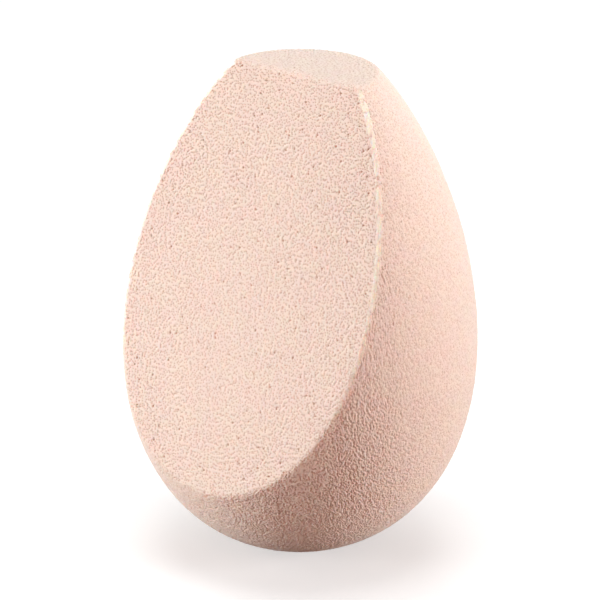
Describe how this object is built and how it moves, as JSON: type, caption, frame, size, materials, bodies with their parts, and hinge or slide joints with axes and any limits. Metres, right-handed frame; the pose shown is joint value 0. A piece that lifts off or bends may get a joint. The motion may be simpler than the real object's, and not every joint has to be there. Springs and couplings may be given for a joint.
{
  "type": "makeup sponge",
  "caption": "Egg-shaped makeup sponge of soft open-cell foam, with a large slanted flat face and a small flat tip, for dabbing and blending make-up on skin.",
  "frame": {"origin": "lowest point of the round end, on the egg's axis", "axes": "+Z along the egg's axis, from the round end to the flat tip; -Y is the side that the slanted face looks to; the sponge is its own mirror image across the plane x = 0"},
  "size_m": [0.043, 0.0402, 0.06],
  "materials": {
    "foam": "matte peach open-cell foam with fine pores"
  },
  "bodies": {
    "root": {"foam_body": "foam"}
  },
  "joints": []
}
